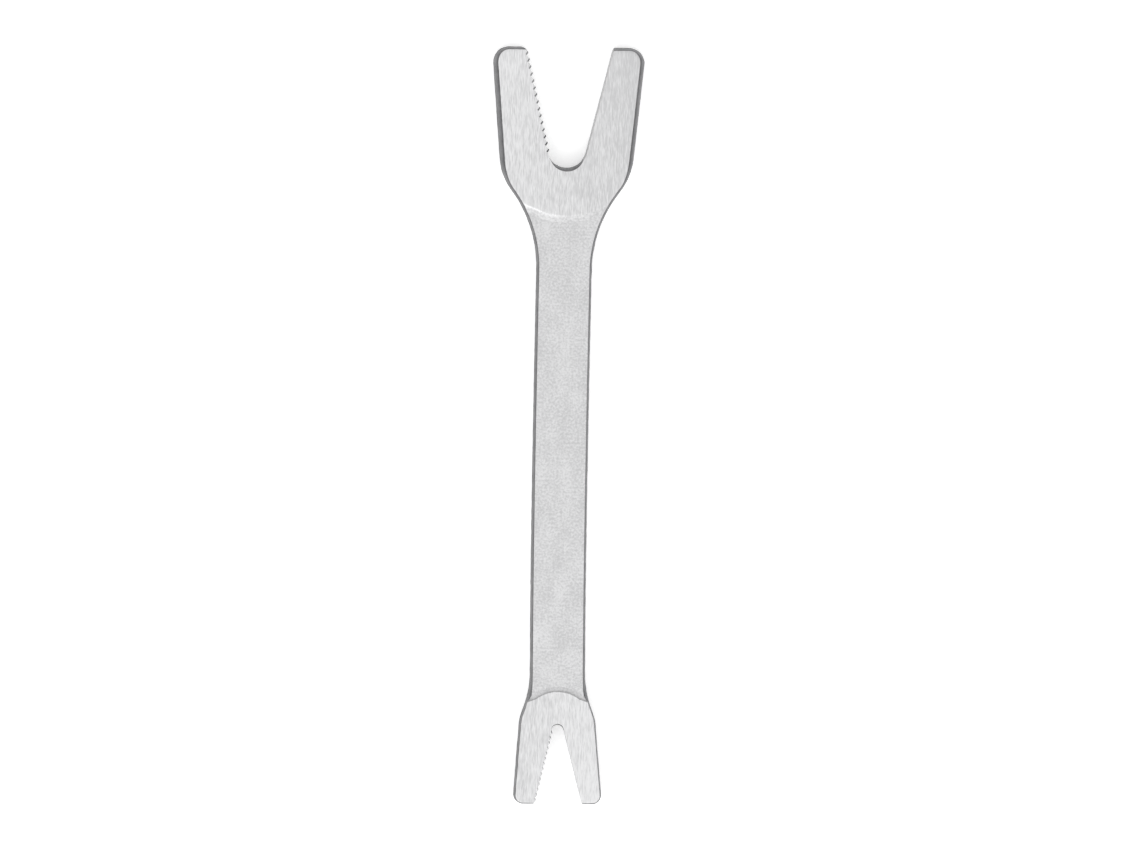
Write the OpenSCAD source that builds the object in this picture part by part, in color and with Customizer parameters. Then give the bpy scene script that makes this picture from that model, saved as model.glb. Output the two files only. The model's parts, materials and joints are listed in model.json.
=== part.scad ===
// Double-ended V-jaw wrench, one drop forging: a flat shank with a forked head at each end.
// It lies flat: X is the width, with the toothed jaws at -X, Y is the length, with the large
// head at +Y, and the backs of both heads rest on Z = 0. All three nodes are zones of one piece
// of steel, and they meet face to face along the edges of the ground pads.

/* [Whole tool] */
// Length over both heads
overall_length = 254; // [210:1:310]
// Thickness of both heads over their ground faces
head_t = 8; // [6.5:0.1:10]
// Height of each ground face above the shank's face
pad_step = 0.5; // [0.2:0.1:1]
// Turn of the rounded edge, from the parting line to the flat face
edge_turn = 60; // [40:5:75]
// Inset of the face edge from the parting line at the tips' ends and in the throats
end_edge = 0.85; // [0.5:0.05:1.4]

/* [Shank] */
// Width of the shank at the parting line
shank_w = 18.5; // [15:0.1:22.5]
// Inset of the shank's face edge from the parting line
shank_edge = 0.9; // [0.5:0.1:2]

/* [Large head] */
// Width across the tips, measured between the outer flanks
large_w = 51.3; // [42:0.1:62]
// Angle of each outer flank to the long axis
large_flare = 5.15; // [3:0.05:7]
// Distance from the tips to the corner between flank and shoulder
large_reach = 42.8; // [38:0.1:52]
// Angle of the shoulder to the long axis
large_shoulder = 36; // [28:1:45]
// Radius that rounds the corner between flank and shoulder
large_shoulder_r = 21; // [12:0.5:25]
// Radius of the hollow between shoulder and shank
large_neck_r = 43; // [20:1:52]
// Radius of the outer corner of each tip
large_tip_r = 5.2; // [3:0.1:6.5]
// Inset of the head's face edge from the parting line
large_edge = 1.5; // [1:0.1:2.2]
// Depth of the mouth, from the tips to the bottom of the throat
large_mouth = 40.1; // [33:0.1:43]
// Angle of each jaw to the long axis
large_jaw_angle = 13.35; // [11:0.05:15]
// Radius of the throat
large_throat_r = 6.7; // [5.5:0.1:8.1]
// Pitch of the jaw teeth
large_pitch = 2.37; // [1.9:0.01:3]
// Radius of the ground pad's rounded end
large_pad_r = 23.6; // [19:0.1:29]
// Distance from the tips to the end of the ground pad
large_pad = 56.1; // [53:0.1:60]
// Half the angle over which the pad's rounded end runs
large_pad_turn = 36; // [25:1:40]

/* [Small head] */
// Width across the tips, measured between the outer flanks
small_w = 30.1; // [28.5:0.1:37]
// Angle of each outer flank to the long axis
small_flare = 4.6; // [3:0.05:5.5]
// Distance from the tips to the corner between flank and shoulder
small_reach = 28.5; // [24:0.1:35]
// Angle of the shoulder to the long axis
small_shoulder = 19; // [14:1:26]
// Radius that rounds the corner between flank and shoulder
small_shoulder_r = 14; // [8:0.5:18]
// Radius of the hollow between shoulder and shank
small_neck_r = 34; // [15:1:42]
// Radius of the outer corner of each tip
small_tip_r = 3.2; // [2:0.1:4]
// Inset of the head's face edge from the parting line
small_edge = 0.6; // [0.5:0.1:1.2]
// Depth of the mouth, from the tips to the bottom of the throat
small_mouth = 26.8; // [22:0.1:28]
// Angle of each jaw to the long axis
small_jaw_angle = 13.7; // [11:0.05:15]
// Radius of the throat
small_throat_r = 2.2; // [2:0.1:2.8]
// Pitch of the jaw teeth
small_pitch = 1.8; // [1.5:0.01:2.3]
// Radius of the ground pad's rounded end
small_pad_r = 12; // [10:0.1:15]
// Distance from the tips to the end of the ground pad
small_pad = 38.5; // [35:0.1:45]
// Half the angle over which the pad's rounded end runs
small_pad_turn = 46; // [35:1:50]

/* [Jaw teeth] */
// Slope of a tooth's long face to the jaw
tooth_long_angle = 25; // [18:1:32]
// Slope of a tooth's short face, which looks towards the throat
tooth_short_angle = 46; // [35:1:60]

/* [Hidden] */

// Each head's sizes in one list, in the order of the reading functions below
large = [large_w, large_flare, large_reach, large_shoulder, large_shoulder_r, large_neck_r,
         large_tip_r, large_edge, large_mouth, large_jaw_angle, large_throat_r, large_pitch,
         large_pad_r, large_pad, large_pad_turn];
small = [small_w, small_flare, small_reach, small_shoulder, small_shoulder_r, small_neck_r,
         small_tip_r, small_edge, small_mouth, small_jaw_angle, small_throat_r, small_pitch,
         small_pad_r, small_pad, small_pad_turn];
function tip_w(h) = h[0];
function flare(h) = h[1];
function reach(h) = h[2];
function shoulder(h) = h[3];
function shoulder_r(h) = h[4];
function neck_r(h) = h[5];
function tip_r(h) = h[6];
function edge(h) = h[7];
function mouth(h) = h[8];
function jaw_angle(h) = h[9];
function throat_r(h) = h[10];
function pitch(h) = h[11];
function pad_r(h) = h[12];
function pad(h) = h[13];
function pad_turn(h) = h[14];

tip_y = overall_length / 2; // both heads' tips are this far from the middle
shank_t = head_t - 2 * pad_step;
facet_angle = 5; // largest turn between two facets of a rounded wall
edge_steps = 3; // facets of the rounded edge on each side of the parting line
throat_facet = 10; // largest turn between two facets of a throat
pad_fn = 96; // any number above 12 gives the pad's end a true cylinder
past = 1; // how far a cut runs past what it cuts
steel = [0.74, 0.75, 0.76];
ground_steel = [0.82, 0.83, 0.84];

// The outward normal of an outline that runs at angle f to the long axis, on the +X side
function normal(f) = [cos(f), -sin(f)];

// How many steps cover a turn
function steps(turn, largest) = max(2, ceil(abs(turn) / largest));

// The length from a corner to where a radius that rounds it begins
function tangent(r, turn) = r * tan(abs(turn) / 2);

// An even start and end for a change from a to b, as k goes from 0 to 1
function eased(a, b, k) = a + (b - a) * (1 - cos(180 * k)) / 2;

// Rounds the corner p between outlines at angles f1 and f2: a list of [point, normal, inset].
// A negative radius makes the hollow of an inside corner.
function rounded(p, r, f1, f2, inset1, inset2) =
    let (centre = p - r * (normal(f1) + normal(f2)) / (1 + normal(f1) * normal(f2)),
         n = steps(f2 - f1, facet_angle))
    [for (i = [0:n])
        let (k = i / n, f = f1 + (f2 - f1) * k)
        [centre + r * normal(f), normal(f), eased(inset1, inset2, k)]];

// The three corners of one side of a head, from the shank to the tip
function tip_corner(h) = [tip_w(h) / 2, tip_y];
function shoulder_corner(h) = [tip_w(h) / 2 - reach(h) * tan(flare(h)), tip_y - reach(h)];
function neck_corner(h) =
    let (c = shoulder_corner(h))
    [shank_w / 2, c[1] - (c[0] - shank_w / 2) / tan(shoulder(h))];

// The hollow is limited to the length of shoulder that the convex radius leaves
function neck_fit(h) =
    let (wall = norm(shoulder_corner(h) - neck_corner(h)),
         used = tangent(shoulder_r(h), shoulder(h) - flare(h)))
    min(neck_r(h), (wall - used) / tan(shoulder(h) / 2));

// One side of a head, from the end of the shank to the middle of its tip
function head_side(h) = concat(
    rounded(neck_corner(h), -neck_fit(h), 0, shoulder(h), shank_edge, edge(h)),
    rounded(shoulder_corner(h), shoulder_r(h), shoulder(h), flare(h), edge(h), edge(h)),
    rounded(tip_corner(h), tip_r(h), flare(h), -90, edge(h), end_edge));

// One side of a head's blank, which runs on to the middle of the shank, past any pad's end
function blank_side(h) = concat([[[shank_w / 2, 0], normal(0), shank_edge]], head_side(h));

function reversed(list) = [for (i = [len(list) - 1:-1:0]) list[i]];
function flip_x(list) = [for (q = list) [[-q[0][0], q[0][1]], [-q[1][0], q[1][1]], q[2]]];
function flip_y(list) = [for (q = list) [[q[0][0], -q[0][1]], [q[1][0], -q[1][1]], q[2]]];

// The rounded edge from one face to the other: its turns, and at a turn f the height above the
// surface that the tool lies on and the share of the full inset
edge_turns = [for (i = [-edge_steps:edge_steps]) edge_turn * i / edge_steps];
function edge_height(f, t) = (head_t + t * sin(f) / sin(edge_turn)) / 2;
function inset_share(f) = (1 - cos(f)) / (1 - cos(edge_turn));

// The walls of a stack of m rings that have n points each, as triangles
function ring_walls(n, m) =
    [for (j = [0:m - 2]) for (i = [0:n - 1])
        let (a = j * n + i, b = j * n + (i + 1) % n)
        each [[a, a + n, b + n], [a, b + n, b]]];

// A solid with rounded edges whose +X side is the list side and whose -X side mirrors it
module forged(side, t) {
    outline = concat(side, reversed(flip_x(side)));
    n = len(outline);
    half = len(side);
    top = (len(edge_turns) - 1) * n;
    points = [for (f = edge_turns) for (q = outline)
        let (xy = q[0] - q[1] * q[2] * inset_share(f))
        [xy[0], xy[1], edge_height(f, t)]];
    back = [for (i = [0:half - 2]) [i, i + 1, n - 2 - i, n - 1 - i]];
    front = [for (q = back) [q[0] + top, q[3] + top, q[2] + top, q[1] + top]];
    polyhedron(points, concat(ring_walls(n, len(edge_turns)), back, front));
}

// Everything on the head's side of its pad edge: the pad's round end, then straight across
module pad_zone(h) {
    span = overall_length;
    translate([0, tip_y - pad(h) + pad_r(h), -past])
        linear_extrude(head_t + 2 * past)
            union() {
                circle(r = pad_r(h), $fn = pad_fn);
                translate([-span / 2, -pad_r(h) * cos(pad_turn(h))]) square([span, span]);
            }
}

// A point on the smooth side of the V, at distance s from where the throat meets the jaw
function jaw_point(h, s) =
    let (a = jaw_angle(h))
    [throat_r(h) * cos(a) + s * sin(a), -throat_r(h) * sin(a) + s * cos(a)];

// The straight part of the mouth, with its teeth standing into it from the -X jaw
module jaws(h) {
    a = jaw_angle(h);
    depth = pitch(h) / (1 / tan(tooth_long_angle) + 1 / tan(tooth_short_angle));
    short_run = depth / tan(tooth_short_angle);
    jaw_length = (mouth(h) - throat_r(h) * (1 - sin(a))) / cos(a);
    last = floor((jaw_length - short_run) / pitch(h));
    far = jaw_length + 2 * pitch(h);
    teeth = [for (k = [last:-1:0])
        let (root = jaw_point(h, k * pitch(h)), tip = jaw_point(h, k * pitch(h) + short_run))
        each [[-tip[0] + depth * cos(a), tip[1] + depth * sin(a)], [-root[0], root[1]]]];
    last_root = jaw_point(h, (last + 1) * pitch(h));
    outer = jaw_point(h, far);
    translate([0, 0, -past])
        linear_extrude(head_t + 2 * past)
            polygon(concat([jaw_point(h, 0), outer, [-outer[0], outer[1]], [-last_root[0], last_root[1]]],
                           teeth));
}

// The round bottom of the mouth, which opens out from the parting line to both faces
module throat(h) {
    r = throat_r(h);
    sweep = 90 - jaw_angle(h);
    n_arc = steps(2 * sweep, throat_facet);
    inner = r / 2.5; // the two closing points lie inside the straight part of the mouth
    outline = concat(
        [for (i = [0:n_arc])
            let (f = -sweep + 2 * sweep * i / n_arc, out = [sin(f), -cos(f)])
            [r * out, out, end_edge * max(0, cos(f * 90 / sweep))]],
        [[[inner, inner], [0, 0], 0], [[-inner, inner], [0, 0], 0]]);
    n = len(outline);
    rings = concat([[-past, 1]],
                   [for (f = edge_turns) [edge_height(f, head_t), inset_share(f)]],
                   [[head_t + past, 1]]);
    top = (len(rings) - 1) * n;
    points = [for (ring = rings) for (q = outline)
        let (xy = q[0] + q[1] * q[2] * ring[1])
        [xy[0], xy[1], ring[0]]];
    back = [for (i = [0:n - 1]) i];
    front = [for (i = [n - 1:-1:0]) top + i];
    polyhedron(points, concat(ring_walls(n, len(rings)), [back, front]));
}

// A forked head that points along +Y
module jaw_head(h) {
    difference() {
        intersection() {
            forged(blank_side(h), head_t);
            pad_zone(h);
        }
        translate([0, tip_y - mouth(h) + throat_r(h), 0]) {
            jaws(h);
            throat(h);
        }
    }
}

module shank() {
    color(steel)
        difference() {
            forged(concat(reversed(flip_y(head_side(small))), head_side(large)), shank_t);
            pad_zone(large);
            mirror([0, 1, 0]) pad_zone(small);
        }
}

module large_jaw_head() {
    color(ground_steel) jaw_head(large);
}

module small_jaw_head() {
    color(ground_steel) mirror([0, 1, 0]) jaw_head(small);
}

shank();
large_jaw_head();
small_jaw_head();
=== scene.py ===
import json
import math
import bmesh
import bpy
import numpy as np
from mathutils import Matrix, Vector, noise
from mathutils.geometry import delaunay_2d_cdt

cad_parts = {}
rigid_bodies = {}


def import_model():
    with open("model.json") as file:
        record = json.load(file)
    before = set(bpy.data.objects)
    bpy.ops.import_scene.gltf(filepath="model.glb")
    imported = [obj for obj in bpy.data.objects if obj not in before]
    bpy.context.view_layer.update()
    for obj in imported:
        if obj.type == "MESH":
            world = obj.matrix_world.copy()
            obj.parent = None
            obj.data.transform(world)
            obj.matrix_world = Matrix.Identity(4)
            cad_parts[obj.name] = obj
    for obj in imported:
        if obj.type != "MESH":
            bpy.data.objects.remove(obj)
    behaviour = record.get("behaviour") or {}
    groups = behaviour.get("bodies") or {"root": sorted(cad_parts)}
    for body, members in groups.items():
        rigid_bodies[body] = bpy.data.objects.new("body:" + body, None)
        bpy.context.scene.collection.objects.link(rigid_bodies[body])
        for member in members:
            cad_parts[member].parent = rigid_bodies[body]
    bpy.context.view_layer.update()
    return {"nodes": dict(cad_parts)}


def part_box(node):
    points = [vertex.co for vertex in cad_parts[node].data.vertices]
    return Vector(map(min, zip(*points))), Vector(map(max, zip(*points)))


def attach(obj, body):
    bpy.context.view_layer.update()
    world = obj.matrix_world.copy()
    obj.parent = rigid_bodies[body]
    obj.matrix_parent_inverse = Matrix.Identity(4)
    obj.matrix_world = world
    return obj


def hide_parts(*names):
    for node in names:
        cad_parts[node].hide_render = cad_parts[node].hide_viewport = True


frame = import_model()
print("frame loaded:", ", ".join(sorted(frame["nodes"])))

# Lengths below are in millimetres and angles in degrees. X is the width, with the toothed jaws
# at -X, Y the length with the large head at +Y, and Z up from the surface the tool lies on.
millimetre = 0.001


def newMaterial(name, base, roughness, metallic=1.0):
    material = bpy.data.materials.new(name)
    material.use_nodes = True
    tree = material.node_tree
    shader = tree.nodes["Principled BSDF"]
    shader.inputs["Metallic"].default_value = metallic
    shader.inputs["Base Color"].default_value = (*base, 1)
    shader.inputs["Roughness"].default_value = roughness
    return tree, shader


def addNode(tree, kind, **values):
    node = tree.nodes.new(kind)
    for key, value in values.items():
        if hasattr(node, key):
            setattr(node, key, value)
        else:
            node.inputs[key].default_value = value
    return node


def noiseOf(tree, scale, detail=3.0, rough=0.5, stretch=(1, 1, 1), place=(0, 0, 0)):
    coords = addNode(tree, "ShaderNodeTexCoord")
    mapping = addNode(tree, "ShaderNodeMapping")
    mapping.inputs["Scale"].default_value = stretch
    mapping.inputs["Location"].default_value = place
    texture = addNode(tree, "ShaderNodeTexNoise", Scale=scale, Detail=detail, Roughness=rough)
    tree.links.new(coords.outputs["Object"], mapping.inputs["Vector"])
    tree.links.new(mapping.outputs["Vector"], texture.inputs["Vector"])
    return texture.outputs["Fac"]


def spread(tree, value, low, high, toLow, toHigh):
    node = addNode(tree, "ShaderNodeMapRange")
    for key, number in (("From Min", low), ("From Max", high), ("To Min", toLow), ("To Max", toHigh)):
        node.inputs[key].default_value = number
    tree.links.new(value, node.inputs["Value"])
    return node.outputs["Result"]


def mixed(tree, values, shares):  # the values' weighted sum
    total = combine(tree, "MULTIPLY", values[0], shares[0])
    for value, share in zip(values[1:], shares[1:]):
        total = combine(tree, "ADD", total, combine(tree, "MULTIPLY", value, share))
    return total


def combine(tree, operation, a, b):
    node = addNode(tree, "ShaderNodeMath", operation=operation)
    for socket, value in zip(node.inputs, (a, b)):
        if isinstance(value, (int, float)):
            socket.default_value = value
        else:
            tree.links.new(value, socket)
    return node.outputs["Value"]


def tinted(tree, value, dark, bright):  # a grey ramp between two near-neutral steels
    ramp = addNode(tree, "ShaderNodeValToRGB")
    ramp.color_ramp.elements[0].color = (*dark, 1)
    ramp.color_ramp.elements[1].color = (*bright, 1)
    tree.links.new(value, ramp.inputs["Fac"])
    return ramp.outputs["Color"]


def bumped(tree, shader, value, strength, distance):
    node = addNode(tree, "ShaderNodeBump", Strength=strength, Distance=distance)
    tree.links.new(value, node.inputs["Height"])
    tree.links.new(node.outputs["Normal"], shader.inputs["Normal"])


noiseSpan = (0.3, 0.7)  # a noise texture's values lie mostly between these


# Colour from the tone, roughness from the sheen, and low relief
def coat(tree, shader, finish, tone, sheen, relief):
    tree.links.new(tinted(tree, tone, finish["dark"], finish["bright"]), shader.inputs["Base Color"])
    tree.links.new(spread(tree, sheen, *noiseSpan, *finish["roughness"]), shader.inputs["Roughness"])
    bumped(tree, shader, relief, finish["bump"], finish["bumpDepth"] * millimetre)


groundFinish = {
    "bright": (0.68, 0.68, 0.685), "dark": (0.49, 0.49, 0.495),
    "streakWidth": 0.27, "streakLength": 3.0,  # of one belt mark
    "cloudScale": 120,  # clouds to a metre
    "paintedShadeSlant": 110,  # how much the painted shade changes from jaw to jaw
    "roughness": (0.30, 0.44),
    "bump": 0.16, "bumpDepth": 0.05,
    "shares": (0.78, 0.12, 0.1),  # of the streaks, the broad bands and the clouds
    "contrast": (0.36, 0.62),  # the mixed values that come out darkest and brightest
}


def makeGroundSteel():
    f = groundFinish
    tree, shader = newMaterial("groundSteel", f["bright"], 0.36)
    across, along = 1 / (f["streakWidth"] * millimetre), 1 / (f["streakLength"] * millimetre)
    fine = noiseOf(tree, 1, 2, 0.6, (across, along, along))
    broad = noiseOf(tree, 1, 2, 0.5, (across * 0.3, along * 0.45, along), (3, 7, 1))
    cloud = noiseOf(tree, f["cloudScale"], 2, 0.5)
    marks = mixed(tree, (fine, broad, cloud), f["shares"])
    # painted shade: the ground faces are painted darker towards the large head and lighter towards the small
    # one, darkest on the large head's +X jaw, standing in for how the light falls on each jaw
    place = addNode(tree, "ShaderNodeSeparateXYZ")
    tree.links.new(addNode(tree, "ShaderNodeTexCoord").outputs["Object"], place.inputs["Vector"])
    paintedShadeSlant = combine(tree, "ADD", combine(tree, "MULTIPLY", place.outputs["X"], f["paintedShadeSlant"]), 1)
    shade = combine(tree, "SUBTRACT", spread(tree, marks, *f["contrast"], 0, 1),
                    combine(tree, "MULTIPLY", place.outputs["Y"], paintedShadeSlant))
    coat(tree, shader, f, shade, fine, marks)


blastedFinish = {
    "bright": (0.64, 0.64, 0.645), "dark": (0.485, 0.485, 0.49),
    "grain": 0.75, "cloud": 5.0,
    "roughness": (0.40, 0.52),
    "bump": 0.25, "bumpDepth": 0.06,
    "shares": (0.75, 0.25),  # of the grain and the clouds
    "contrast": (0.40, 0.60),
}


def makeBlastedSteel():
    f = blastedFinish
    tree, shader = newMaterial("blastedSteel", f["bright"], 0.45)
    grain = noiseOf(tree, 1 / (f["grain"] * millimetre), 3, 0.6)
    cloud = noiseOf(tree, 1 / (f["cloud"] * millimetre), 3, 0.5, (1, 0.6, 1))
    mottle = mixed(tree, (grain, cloud), f["shares"])
    coat(tree, shader, f, spread(tree, mottle, *f["contrast"], 0, 1), grain, grain)


# Painted shade: the walls' steel is painted far darker than the faces' steel, standing in for the shade on
# the walls; its grain, roughness and bumps are the forged finish
wallShadeAndFinish = {
    "bright": (0.24, 0.24, 0.245), "dark": (0.14, 0.14, 0.145),
    "grain": 0.6, "cloud": 4.0,
    "roughness": (0.42, 0.60),
    "bump": 0.4, "bumpDepth": 0.08,
    "shares": (0.45, 0.55),
    "contrast": (0.34, 0.64),
}


def makeForgedWallPaintedShade():
    f = wallShadeAndFinish
    tree, shader = newMaterial("forgedWallPaintedShade", f["bright"], 0.5)
    grain = noiseOf(tree, 1 / (f["grain"] * millimetre), 4, 0.6)
    cloud = noiseOf(tree, 1 / (f["cloud"] * millimetre), 3, 0.55)
    mottle = mixed(tree, (grain, cloud), f["shares"])
    coat(tree, shader, f, spread(tree, mottle, *f["contrast"], 0, 1), grain, mottle)


# Painted shade: the cut jaws' steel is painted darker than the ground faces' steel, standing in for the
# shade between the jaws; its lines, roughness and bumps are the cutter's marks
cutShadeAndFinish = {
    "bright": (0.40, 0.40, 0.405), "dark": (0.24, 0.24, 0.245),
    "markSpacing": 0.16, "markLength": 1.5,  # of the lines that the cutter leaves
    "markScale": 250,  # lines to a metre through the thickness
    "cloudScale": 450,
    "roughness": (0.30, 0.46),
    "bump": 0.2, "bumpDepth": 0.04,
    "shares": (0.6, 0.4),  # of the lines and the clouds
    "contrast": (0.34, 0.64),
}


def makeCutSteelPaintedShade():
    f = cutShadeAndFinish
    tree, shader = newMaterial("cutSteelPaintedShade", f["bright"], 0.38)
    across, along = 1 / (f["markLength"] * millimetre), 1 / (f["markSpacing"] * millimetre)
    lines = noiseOf(tree, 1, 2, 0.5, (across, along, f["markScale"]))
    cloud = noiseOf(tree, f["cloudScale"], 3, 0.5)
    marks = mixed(tree, (lines, cloud), f["shares"])
    coat(tree, shader, f, spread(tree, marks, *f["contrast"], 0, 1), lines, lines)


makeGroundSteel()
makeBlastedSteel()
makeForgedWallPaintedShade()
makeCutSteelPaintedShade()
print("materials made:", ", ".join(m.name for m in bpy.data.materials if m.users == 0))


def boxOf(node):
    return [np.array(corner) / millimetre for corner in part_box(node)]


largeBox = boxOf("large_jaw_head")
shankBox = boxOf("shank")

forging = {
    "tipY": float(largeBox[1][1]),  # both heads' tips are this far from the middle
    "middleZ": float(largeBox[1][2]) / 2,  # height of the parting line
    "headHalf": float(largeBox[1][2]) / 2,  # half the thickness over the ground faces
    "shankHalf": float(shankBox[1][2] - shankBox[0][2]) / 2,
    "edgeTurn": 60,  # the rounded wall turns this far, from the parting line to the face
    "endEdge": 0.75,  # inset of the face edge at the tips' ends
    "headEdgeDrop": 0.05,  # how far the broken edge of a ground face falls
    "flashLand": 0.5,  # half height of the band left where the flash was trimmed
    "flashStep": 0.09,  # how far that band stands out of the wall
    "bow": 0.85,  # sideways bow at mid-length, towards the toothed jaws
    "bowLean": 0.45,  # how much more of the bow lies towards the small head
    "trimLength": 2.3, "shankTrim": 0.06, "headTrim": 0.05,  # how ragged the trimmed band is
    "crispTurn": 28,  # edges that turn further than this look crisp
}

shankSizes = {
    "width": 18.5,
    "edge": 0.8,  # inset of the face edge
    "softWidth": 0.22,  # the soft edge between wall and face
    "edgeDrop": 0.08,  # how far that soft edge falls
    "faceColumns": 44,
    "rowStep": 0.5,
    "ripple": 0.013,  # low relief that the dies and the blasting leave
    "rippleLength": 3.2,
    "swell": 1.6, "swellLength": 18,  # the broad part of it, as a multiple of the ripple
    "wallRipple": 2.2, "wallSwell": 1.5,  # the same on the side walls
    "endFade": 2.5,  # the relief dies out this far from the heads
    "seed": 7,
    "pits": 46,
    "pitDepth": 0.05,
    "pitRadius": 0.55,
    "pitSpread": 9,  # how far from the middle line the pits lie
}

largeHead = {
    "side": 1,  # +1 at the +Y end
    "throatTurn": 54,  # the throat is left as forged, with the walls' painted shade, this far to each side of its bottom
    "width": 51.3, "flare": 5.15, "reach": 42.8,
    "shoulder": 36, "shoulderRadius": 21, "neckRadius": 43, "tipRadius": 5.2,
    "edge": 1.55, "shoulderEdge": 0.95, "neckEdge": 0.9,  # insets of the face edge
    "throatEdge": 1.0,
    "mouth": 40.1, "jawAngle": 13.35, "throatRadius": 6.7, "toothPitch": 2.37,
    "padRadius": 23.6, "pad": 56.1, "padTurn": 36,
    "padSlope": 2.4,  # width of the slope from the ground pad down to the shank
    "cornerToothed": 0.75, "cornerSmooth": 0.3,  # chamfers on the tips' inner corners
    "tipRoll": 0.26, "tipRollWidth": 2.3,  # how the ground face falls off at the tips' ends
    "flankRoll": 0.07, "flankRollWidth": 0.8,  # and along the flanks
    "grooveFlare": 0.55,  # how far a groove opens out on the throat side at the faces
    "relief": 0.012,  # how uneven the ground faces are
    # small dents in the front face, each an x, y, radius and depth, and a scratch between two points
    "dents": (
        (-19.3, 116.5, 0.3, 0.05), (-18.5, 116.6, 0.25, 0.05), (-17.4, 104.6, 0.3, 0.04),
        (13.0, 100, 0.3, 0.07), (13.2, 113.7, 0.35, 0.08), (-8, 78.4, 0.3, 0.05),
        (-2.2, 74, 0.3, 0.05), (-16.2, 98.5, 0.25, 0.03),
    ),
    "scratch": ((-12.4, 95.6), (-10, 92.9)),
    "padPits": 22,  # small pits along the ground pad's rim
    "gridStep": 0.95,
}

smallHead = {
    "side": -1,
    "throatTurn": 70,
    "width": 30.1, "flare": 4.6, "reach": 28.5,
    "shoulder": 19, "shoulderRadius": 14, "neckRadius": 34, "tipRadius": 3.2,
    "edge": 0.6, "shoulderEdge": 0.45, "neckEdge": 1.35,
    "throatEdge": 0.75,
    "mouth": 26.8, "jawAngle": 13.7, "throatRadius": 2.2, "toothPitch": 1.8,
    "padRadius": 12, "pad": 38.5, "padTurn": 46,
    "padSlope": 1.7,
    "cornerToothed": 0.45, "cornerSmooth": 0.25,
    "tipRoll": 0.05, "tipRollWidth": 1.2,
    "flankRoll": 0.05, "flankRollWidth": 0.7,
    "grooveFlare": 0.2,
    "relief": 0.01,
    "dents": (
        (-2.05, 90.1, 0.4, 0.08), (-0.9, 93.6, 0.3, 0.05), (-0.2, 93, 0.3, 0.06), (0.3, 94.2, 0.35, 0.07),
        (0.8, 93.4, 0.3, 0.06), (1.3, 93.1, 0.3, 0.05), (-1.2, 94.4, 0.25, 0.05),
    ),
    "scratch": ((-4.6, 104.2), (-4.4, 107.4)),
    "padPits": 16,
    "gridStep": 0.8,
}


# Outlines. A turn is the angle that an outline makes with +Y.
def sine(angle):
    return math.sin(math.radians(angle))


def cosine(angle):
    return math.cos(math.radians(angle))


def tangent(angle):
    return math.tan(math.radians(angle))


def outward(turn):  # outward normal of an outline that runs at this angle to +Y, on the +X side
    return np.array([cosine(turn), -sine(turn)])


def eased(a, b, k):
    return a + (b - a) * (1 - math.cos(math.pi * k)) / 2


# A row holds x, y, the outward normal and the inset of the face edge there
def roundCorner(corner, radius, turnA, turnB, insetA, insetB, finest=2.0):
    nA, nB = outward(turnA), outward(turnB)
    centre = np.array(corner) - radius * (nA + nB) / (1 + nA @ nB)
    count = max(3, math.ceil(abs(turnB - turnA) / finest))
    rows = []
    for i in range(count + 1):
        n = outward(turnA + (turnB - turnA) * i / count)
        rows.append([*(centre + radius * n), *n, eased(insetA, insetB, i / count)])
    return rows


def shoulderCorner(head):
    x = head["width"] / 2 - head["reach"] * tangent(head["flare"])
    return np.array([x, forging["tipY"] - head["reach"]])


def neckCorner(head):
    c = shoulderCorner(head)
    half = shankSizes["width"] / 2
    return np.array([half, c[1] - (c[0] - half) / tangent(head["shoulder"])])


# One side of a head at +Y, from the shank to the middle of its tip. The insets are those of the
# face edge where the neck starts and where it ends.
def headSide(head, neckStart, neckEnd):
    shoulder, flare = head["shoulder"], head["flare"]
    tip = [head["width"] / 2, forging["tipY"]]
    return (
        roundCorner(neckCorner(head), -head["neckRadius"], 0, shoulder, neckStart, neckEnd)
        + roundCorner(shoulderCorner(head), head["shoulderRadius"], shoulder, flare, neckEnd, head["edge"])
        + roundCorner(tip, head["tipRadius"], flare, -90, head["edge"], forging["endEdge"], 3.0)
    )


def groundSide(head):
    return headSide(head, head["shoulderEdge"], head["shoulderEdge"])


def forgedSide(head):
    return headSide(head, shankSizes["edge"], head["neckEdge"])


def spaced(rows, step):  # adds rows so that no two are further apart than the step
    out = [np.array(rows[0], float)]
    for a, b in zip(rows, rows[1:]):
        a, b = np.array(a, float), np.array(b, float)
        count = max(1, math.ceil(np.linalg.norm(b[:2] - a[:2]) / step))
        for i in range(1, count + 1):
            row = a + (b - a) * i / count
            row[2:4] /= np.linalg.norm(row[2:4])
            out.append(row)
    return np.array(out)


# Shares of the slope from the shank up to the ground pad: gentle at first, then a short lip
slopeParts = (0, 0.5, 0.84, 1)
slopeRises = (0, 0.36, 0.66, 1)
slopeReach = 0.9  # how much of the slope lies outside the pad's radius
wallClimb = 1.2  # how much longer the slope is along the side walls
settleSteps = 40  # repeats until a point on the slanted wall has settled


def padCentre(head):
    return forging["tipY"] - head["pad"] + head["padRadius"]


def padEdge(head, x):  # the y where the slope meets the shank, for a head at +Y
    radius = head["padRadius"] + slopeReach * head["padSlope"]
    return padCentre(head) - np.sqrt(radius ** 2 - np.minimum(np.abs(x), head["cutReach"]) ** 2)


def cutLine(head):  # the y where the slope's corners meet the shank
    return float(padEdge(head, head["width"]))


# Levels run from the face edge down to the trimmed flash band: four in the soft edge, seven
# round the wall and two at the band
softShares = np.array([1.0, 0.6, 0.25, 0.0])
dropShares = np.array([0.0, 0.2, 0.55, 1.0])
wallTurns = np.array([53, 46, 39, 32, 25, 18, 11])


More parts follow.
